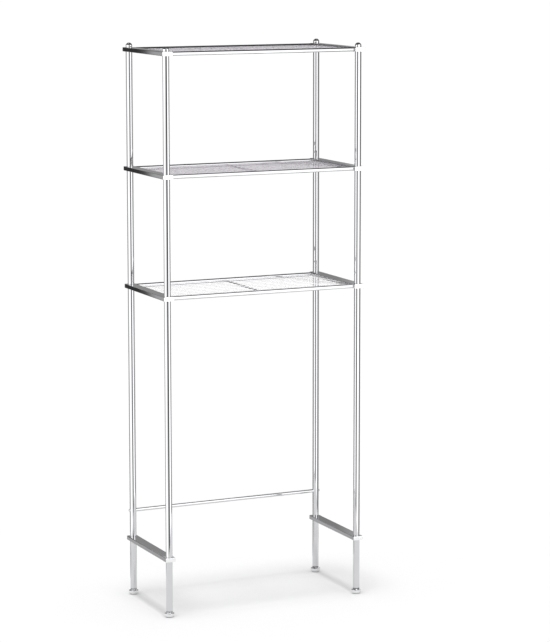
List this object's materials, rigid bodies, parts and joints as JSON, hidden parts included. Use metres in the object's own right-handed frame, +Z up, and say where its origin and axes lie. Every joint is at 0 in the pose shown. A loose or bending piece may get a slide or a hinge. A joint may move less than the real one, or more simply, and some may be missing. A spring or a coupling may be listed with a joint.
{
  "type": "over the toilet storage rack",
  "caption": "Free-standing chromed tube rack that straddles a toilet and carries wire shelves above it, on screw-in levelling feet.",
  "frame": {"origin": "centre of the footprint, on the floor", "axes": "+X to the user's right, +Y towards the wall behind the toilet, +Z up"},
  "size_m": [0.626, 0.302, 1.62],
  "materials": {
    "chrome_tube": "bright chrome plate on steel tube",
    "chrome_flat": "bright chrome plate on flat steel tube",
    "chrome_rod": "bright chrome plate on round steel tube",
    "chrome_wire": "bright chrome plate on drawn steel wire",
    "chrome_foot": "bright chrome plate on a turned cup",
    "chrome_screw": "bright chrome plate on a domed screw",
    "zinc_hardware": "bright zinc plate",
    "collar_plastic": "dark grey plastic",
    "sole_plastic": "matt grey plastic"
  },
  "bodies": {
    "frame": {"finial_front_left": "chrome_tube", "finial_front_right": "chrome_tube", "finial_rear_left": "chrome_tube", "finial_rear_right": "chrome_tube", "foot_tube_front_left": "chrome_tube", "foot_tube_front_right": "chrome_tube", "foot_tube_rear_left": "chrome_tube", "foot_tube_rear_right": "chrome_tube", "left_bracket": "chrome_flat", "leg_tube_front_left": "chrome_tube", "leg_tube_front_right": "chrome_tube", "leg_tube_rear_left": "chrome_tube", "leg_tube_rear_right": "chrome_tube", "low_shelf_cross_bar": "chrome_wire", "low_shelf_front_rail": "chrome_rod", "low_shelf_left_rail": "chrome_flat", "low_shelf_rear_rail": "chrome_rod", "low_shelf_right_rail": "chrome_flat", "low_shelf_wires": "chrome_wire", "lower_tube_inserts": "zinc_hardware", "mid_shelf_cross_bar": "chrome_wire", "mid_shelf_front_rail": "chrome_rod", "mid_shelf_left_rail": "chrome_flat", "mid_shelf_rear_rail": "chrome_rod", "mid_shelf_right_rail": "chrome_flat", "mid_shelf_wires": "chrome_wire", "mid_tube_front_left": "chrome_tube", "mid_tube_front_right": "chrome_tube", "mid_tube_rear_left": "chrome_tube", "mid_tube_rear_right": "chrome_tube", "post_studs": "zinc_hardware", "rail_end_caps": "chrome_flat", "rear_rod": "chrome_rod", "rear_rod_plugs": "zinc_hardware", "rear_rod_screws": "chrome_screw", "right_bracket": "chrome_flat", "top_shelf_cross_bar": "chrome_wire", "top_shelf_front_rail": "chrome_rod", "top_shelf_left_rail": "chrome_flat", "top_shelf_rear_rail": "chrome_rod", "top_shelf_right_rail": "chrome_flat", "top_shelf_wires": "chrome_wire", "top_tube_front_left": "chrome_tube", "top_tube_front_right": "chrome_tube", "top_tube_rear_left": "chrome_tube", "top_tube_rear_right": "chrome_tube", "upper_tube_inserts": "zinc_hardware"},
    "foot_front_left": {"foot_cup_front_left": "chrome_foot", "foot_collar_front_left": "collar_plastic", "foot_pad_front_left": "sole_plastic", "foot_stud_front_left": "zinc_hardware"},
    "foot_front_right": {"foot_cup_front_right": "chrome_foot", "foot_collar_front_right": "collar_plastic", "foot_pad_front_right": "sole_plastic", "foot_stud_front_right": "zinc_hardware"},
    "foot_rear_left": {"foot_cup_rear_left": "chrome_foot", "foot_collar_rear_left": "collar_plastic", "foot_pad_rear_left": "sole_plastic", "foot_stud_rear_left": "zinc_hardware"},
    "foot_rear_right": {"foot_cup_rear_right": "chrome_foot", "foot_collar_rear_right": "collar_plastic", "foot_pad_rear_right": "sole_plastic", "foot_stud_rear_right": "zinc_hardware"}
  },
  "joints": [
    {"name": "foot_front_left_screw", "type": "slide", "parent": "frame", "child": "foot_front_left", "axis": [0, 0, -1], "range_m": [0, 0.008]},
    {"name": "foot_front_right_screw", "type": "slide", "parent": "frame", "child": "foot_front_right", "axis": [0, 0, -1], "range_m": [0, 0.008]},
    {"name": "foot_rear_left_screw", "type": "slide", "parent": "frame", "child": "foot_rear_left", "axis": [0, 0, -1], "range_m": [0, 0.008]},
    {"name": "foot_rear_right_screw", "type": "slide", "parent": "frame", "child": "foot_rear_right", "axis": [0, 0, -1], "range_m": [0, 0.008]}
  ]
}
